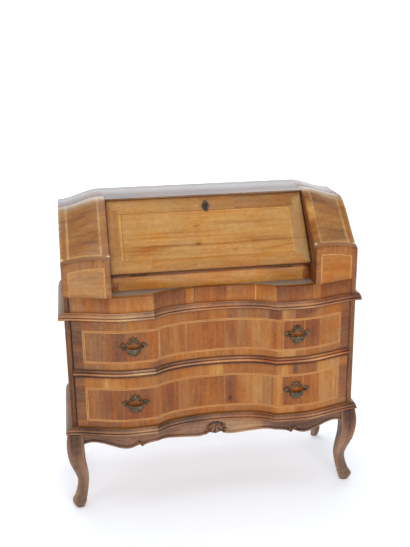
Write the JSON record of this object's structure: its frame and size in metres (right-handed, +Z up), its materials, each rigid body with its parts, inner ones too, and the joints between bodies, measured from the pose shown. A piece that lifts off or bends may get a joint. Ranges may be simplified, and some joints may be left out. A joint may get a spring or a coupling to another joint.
{
  "type": "slant-front desk",
  "caption": "Slant-front desk on cabriole legs: serpentine chest with long drawers, folding fall front between ogee shoulders, pull-out supports and an inner gallery.",
  "frame": {"origin": "on the floor, under the middle of the box round the desk", "axes": "+Z up, front towards -Y, +X to the right of someone facing the front"},
  "size_m": [0.946, 0.3798, 0.9701],
  "materials": {
    "walnut": "polished reddish walnut veneer",
    "golden_walnut": "polished golden walnut veneer",
    "dark_walnut": "waxed solid walnut, worn on its edges",
    "inner_wood": "bare secondary wood",
    "bronze": "dark aged bronze",
    "brass": "aged brass",
    "steel": "plain steel"
  },
  "bodies": {
    "case": {"leg_front_left": "dark_walnut", "leg_front_right": "dark_walnut", "leg_rear_left": "dark_walnut", "leg_rear_right": "dark_walnut", "apron_front": "dark_walnut", "apron_left": "dark_walnut", "apron_right": "dark_walnut", "apron_rear": "dark_walnut", "base_moulding_front": "dark_walnut", "base_moulding_sides": "dark_walnut", "bottom_board": "walnut", "side_panel_left": "walnut", "side_panel_right": "walnut", "back_panel": "inner_wood", "dust_board": "inner_wood", "mid_moulding": "dark_walnut", "frieze_band": "golden_walnut", "kicker_rails": "inner_wood", "waist_moulding_front": "dark_walnut", "waist_moulding_sides": "dark_walnut", "ledge_board": "walnut", "partition_left": "walnut", "partition_right": "walnut", "shoulder_front_left": "golden_walnut", "shoulder_front_right": "golden_walnut", "shoulder_slope_left": "walnut", "shoulder_slope_right": "walnut", "top_board": "walnut", "fall_rail": "walnut", "writing_bed": "walnut", "gallery_shelf": "inner_wood", "gallery_dividers": "inner_wood", "hinge_case_leaves": "brass"},
    "fall": {"fall_front": "golden_walnut", "fall_escutcheon": "bronze", "fall_lock": "brass", "hinge_fall_leaves": "brass"},
    "lock_bolt": {"lock_bolt": "steel"},
    "loper_left": {"loper_left": "dark_walnut"},
    "loper_right": {"loper_right": "dark_walnut"},
    "upper_drawer": {"upper_drawer_front": "walnut", "upper_drawer_side_left": "inner_wood", "upper_drawer_side_right": "inner_wood", "upper_drawer_back": "inner_wood", "upper_drawer_bottom": "inner_wood", "upper_pull_plates": "bronze"},
    "lower_drawer": {"lower_drawer_front": "walnut", "lower_drawer_side_left": "inner_wood", "lower_drawer_side_right": "inner_wood", "lower_drawer_back": "inner_wood", "lower_drawer_bottom": "inner_wood", "lower_pull_plates": "bronze"},
    "upper_bail_left": {"upper_bail_left": "bronze"},
    "upper_bail_right": {"upper_bail_right": "bronze"},
    "lower_bail_left": {"lower_bail_left": "bronze"},
    "lower_bail_right": {"lower_bail_right": "bronze"},
    "gallery_drawer_left": {"gallery_drawer_left": "golden_walnut", "gallery_knob_left": "brass"},
    "gallery_drawer_right": {"gallery_drawer_right": "golden_walnut", "gallery_knob_right": "brass"}
  },
  "joints": [
    {"name": "fall_hinge", "type": "hinge", "parent": "case", "child": "fall", "pos_m": [0, -0.10915, 0.759], "axis": [1, 0, 0], "range_deg": [0, 126.6]},
    {"name": "bolt_slide", "type": "slide", "parent": "fall", "child": "lock_bolt", "axis": [0, 0.5962, 0.8028], "range_m": [0, 0.007]},
    {"name": "loper_left_slide", "type": "slide", "parent": "case", "child": "loper_left", "axis": [0, -1, 0], "range_m": [0, 0.2]},
    {"name": "loper_right_slide", "type": "slide", "parent": "case", "child": "loper_right", "axis": [0, -1, 0], "range_m": [0, 0.2]},
    {"name": "upper_drawer_slide", "type": "slide", "parent": "case", "child": "upper_drawer", "axis": [0, -1, 0], "range_m": [0, 0.25]},
    {"name": "lower_drawer_slide", "type": "slide", "parent": "case", "child": "lower_drawer", "axis": [0, -1, 0], "range_m": [0, 0.25]},
    {"name": "gallery_drawer_left_slide", "type": "slide", "parent": "case", "child": "gallery_drawer_left", "axis": [0, -1, 0], "range_m": [0, 0.1]},
    {"name": "gallery_drawer_right_slide", "type": "slide", "parent": "case", "child": "gallery_drawer_right", "axis": [0, -1, 0], "range_m": [0, 0.1]},
    {"name": "upper_bail_left_hinge", "type": "hinge", "parent": "upper_drawer", "child": "upper_bail_left", "pos_m": [-0.253, -0.18585, 0.558], "axis": [-1, 0, 0], "range_deg": [0, 80]},
    {"name": "upper_bail_right_hinge", "type": "hinge", "parent": "upper_drawer", "child": "upper_bail_right", "pos_m": [0.253, -0.18585, 0.558], "axis": [-1, 0, 0], "range_deg": [0, 80]},
    {"name": "lower_bail_left_hinge", "type": "hinge", "parent": "lower_drawer", "child": "lower_bail_left", "pos_m": [-0.253, -0.18585, 0.37], "axis": [-1, 0, 0], "range_deg": [0, 80]},
    {"name": "lower_bail_right_hinge", "type": "hinge", "parent": "lower_drawer", "child": "lower_bail_right", "pos_m": [0.253, -0.18585, 0.37], "axis": [-1, 0, 0], "range_deg": [0, 80]}
  ]
}
